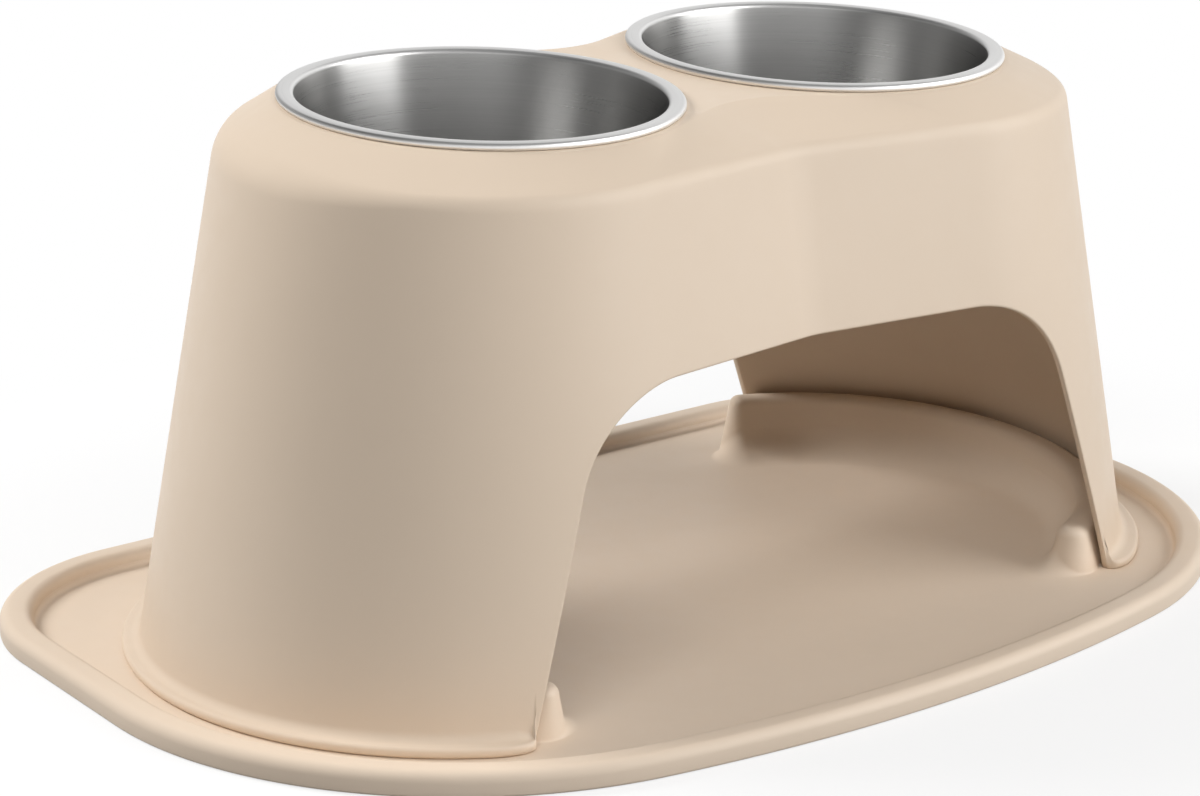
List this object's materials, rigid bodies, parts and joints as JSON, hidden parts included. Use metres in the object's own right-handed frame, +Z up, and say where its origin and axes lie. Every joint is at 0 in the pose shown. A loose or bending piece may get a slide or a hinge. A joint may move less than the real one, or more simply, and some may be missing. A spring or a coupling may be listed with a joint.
{
  "type": "elevated double pet feeder",
  "caption": "Elevated pet feeder: a hollow arched stand with lobed walls holds drop-in steel bowls that lean forward, and stands inside the raised bead of a rimmed mat.",
  "frame": {"origin": "on the floor under the middle of the mat", "axes": "+X along the pair of bowls to the right as seen from the front, -Y to the front where the animal eats, +Z up"},
  "size_m": [0.622, 0.4049, 0.2689],
  "materials": {
    "mat": "satin tan, fine moulded grain",
    "stand": "satin tan, fine moulded grain",
    "bowl": "stainless, turned brush marks inside, bright rim"
  },
  "bodies": {
    "mat": {"mat": "mat"},
    "stand": {"stand": "stand"},
    "left_bowl": {"left_bowl": "bowl"},
    "right_bowl": {"right_bowl": "bowl"}
  },
  "joints": [
    {"name": "stand_lift", "type": "slide", "parent": "mat", "child": "stand", "axis": [0, 0, 1], "range_m": [0, 0.06]},
    {"name": "left_bowl_lift", "type": "slide", "parent": "stand", "child": "left_bowl", "axis": [0, -0.0593, 0.9982], "range_m": [0, 0.09]},
    {"name": "right_bowl_lift", "type": "slide", "parent": "stand", "child": "right_bowl", "axis": [0, -0.0593, 0.9982], "range_m": [0, 0.09]}
  ]
}
